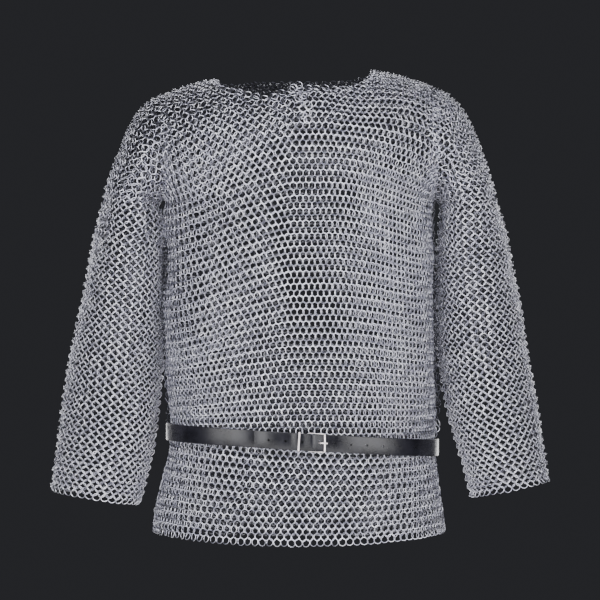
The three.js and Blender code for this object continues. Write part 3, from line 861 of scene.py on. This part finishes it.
def strapPoints():
    points = []
    start, rampStart = turnAtX(belt["buckleEnd"]), 2 * math.pi + turnAtX(belt["rampFrom"] + 3)
    for turn in np.linspace(start, rampStart, strapSteps["round"]):
        plain = waistPoint(turn, 0)
        inFront = math.cos(turn) > 0
        points.append(waistPoint(turn, strapMiddle(plain.x if inFront else underBow["x"][-1], False)))
    for x in np.linspace(belt["rampFrom"], belt["freeEnd"], strapSteps["freeEnd"]):
        points.append(waistPoint(turnAtX(x), strapMiddle(x, True)))
    return points


def punchHole(thing, x, diameter, overLayer):
    middle = waistPoint(turnAtX(x), strapMiddle(x, overLayer))
    ahead = waistPoint(turnAtX(x + 1), strapMiddle(x + 1, overLayer)) - middle
    outward = Vector((ahead.y, -ahead.x, 0)).normalized()
    angles = [k * math.pi / 10 for k in range(20)]
    section = [(math.cos(angle) * diameter / 2, math.sin(angle) * diameter / 2) for angle in angles]
    reach = belt["thickness"] / 2 + 0.2
    course = [middle - outward * reach, middle + outward * 4]
    drill = sweepMesh("drill", course, [Vector((0, 0, 1))] * 2, section)
    punch = thing.modifiers.new("hole", "BOOLEAN")
    punch.object, punch.solver = drill, "EXACT"
    with bpy.context.temp_override(object=thing, active_object=thing, selected_objects=[thing]):
        bpy.ops.object.modifier_apply(modifier=punch.name)
    bpy.data.objects.remove(drill)


def addBeltPiece(thing, node, material):
    thing.data.materials.append(material)
    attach(thing, "root")
    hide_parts(node)
    print(thing.name, len(thing.data.polygons), "faces")


up = Vector((0, 0, 1))
strapSection = roundedSection(belt["width"] / 2, belt["thickness"] / 2, belt["edgeRadius"], 3)
courses = strapPoints()
strap = sweepMesh("waist_strap", courses, [up] * len(courses), strapSection)
for number in holeNumbers:
    place = belt["prongHole"] + belt["holePitch"] * number
    punchHole(strap, place, belt["holeDiameter"], place < belt["rampFrom"])
punchHole(strap, belt["prongHole"], belt["prongHoleDiameter"], False)
strap.data.set_sharp_from_angle(angle=math.radians(38))
addBeltPiece(strap, "belt_strap", leatherMaterial)


def frontPlace(x, offset):
    return Vector((x, waistPoint(turnAtX(x), offset).y, beltHeight(x)))


def buckleFrame():  # a bar bent to a rectangle with round corners
    inner = frontPlace(buckle["pivotX"], buckle["pivotOffset"])
    outer = frontPlace(buckle["outerX"], buckle["outerOffset"])
    across = (outer - inner).normalized()
    middle, halfSpan = (inner + outer) / 2, (outer - inner).length / 2
    outline = roundedSection(halfSpan, buckle["halfHeight"], buckle["corner"], 6)
    points, scales = [], []
    for index, (a, b) in enumerate(outline):
        following = outline[(index + 1) % len(outline)]
        straight = math.hypot(following[0] - a, following[1] - b) > 4
        for share in (0, 0.25, 0.5, 0.75) if straight else (0,):
            place = (a + (following[0] - a) * share, b + (following[1] - b) * share)
            points.append(middle + across * place[0] + up * place[1])
            scales.append(buckle["outerBar"] if place[0] > halfSpan - 0.5 else buckle["rails"])
    facing = Vector((0, -1, 0))
    facing = (facing - across * facing.dot(across)).normalized()
    section = roundedSection(1.2, 1.1, 1.05, 4)
    return sweepMesh("buckle_bar", points, [facing] * len(points), section, closed=True, scales=scales)


def keeperBand():
    top = strapMiddle(keeper["middle"], True) + belt["thickness"] / 2 + keeper["gap"] + keeper["halfThick"]
    bottom = belt["standOff"] - keeper["gap"] - keeper["halfThick"]
    halfHeight = belt["width"] / 2 + keeper["gap"] + keeper["halfThick"]
    outline = roundedSection((top - bottom) / 2, halfHeight, 1.3, 5)
    place = frontPlace(keeper["middle"], 0)
    points = [place + Vector((b * keeper["tilt"], -((top + bottom) / 2 + a), b)) for a, b in outline]
    sideways = [Vector((1, 0, -keeper["tilt"])).normalized()] * len(points)
    section = roundedSection(keeper["halfWidth"], keeper["halfThick"], 0.5, 3)
    return sweepMesh("keeper_band", points, sideways, section, closed=True)


def prongPin():
    xs = np.linspace(prongPath["x"][0], prongPath["x"][-1], 30)
    points = [frontPlace(x, float(readTable(prongPath, "offset", x))) for x in xs]
    return sweepMesh("buckle_pin", points, [up] * len(points), roundedSection(1.1, 1.0, 0.95, 4))


addBeltPiece(buckleFrame(), "buckle_frame", nickelMaterial)
addBeltPiece(keeperBand(), "belt_keeper", nickelMaterial)
addBeltPiece(prongPin(), "buckle_prong", nickelMaterial)


# ---- floor, light and camera ----

# matt pale paint
floorMaterial, floorTree, floorShader = newMaterial("paleFloor")
floorShader.inputs["Base Color"].default_value = linearColour("#E6E5E3")
floorShader.inputs["Roughness"].default_value = 0.9
bpy.ops.mesh.primitive_circle_add(vertices=96, radius=7.5, fill_type="NGON", location=(0, 0, -1.4))
floor = bpy.context.object
floor.name = "floor"
floor.data.materials.append(floorMaterial)

world = bpy.data.worlds.new("studio")
scene.world = world
world.use_nodes = True
world.node_tree.nodes["Background"].inputs["Color"].default_value = linearColour("#4A4B50")
world.node_tree.nodes["Background"].inputs["Strength"].default_value = 0.33


def softBox(name, place, target, size, power):
    data = bpy.data.lights.new(name, "AREA")
    data.shape = "RECTANGLE"
    data.size, data.size_y = size
    data.energy = power
    light = bpy.data.objects.new(name, data)
    light.location = place
    light.rotation_euler = (Vector(target) - Vector(place)).to_track_quat("-Z", "Y").to_euler()
    scene.collection.objects.link(light)


for end in (front, back):  # four boxes close round the line of sight, before and behind
    for name, place, size in (
        ("left", (-0.72, -0.33), (0.7, 0.9)),
        ("right", (0.72, -0.33), (0.7, 0.9)),
        ("top", (0, 0.4), (0.9, 0.7)),
        ("low", (0, -1.0), (0.9, 0.5)),
    ):
        power = (20 if end == front else 8) * (0.5 if name == "low" else 1)
        spot = (place[0], end * 1.05, place[1])
        softBox(name + sideName(end).title(), spot, (0, 0, -0.33), size, power)
print("floor and", len(bpy.data.lights), "soft boxes set")

camera = bpy.data.objects.new("camera", bpy.data.cameras.new("camera"))
camera.location = (0, -6, -0.333)
camera.rotation_euler = (math.radians(90), 0, 0)
camera.data.lens = 240
camera.data.sensor_width = 36
scene.collection.objects.link(camera)
scene.camera = camera
print("camera set")
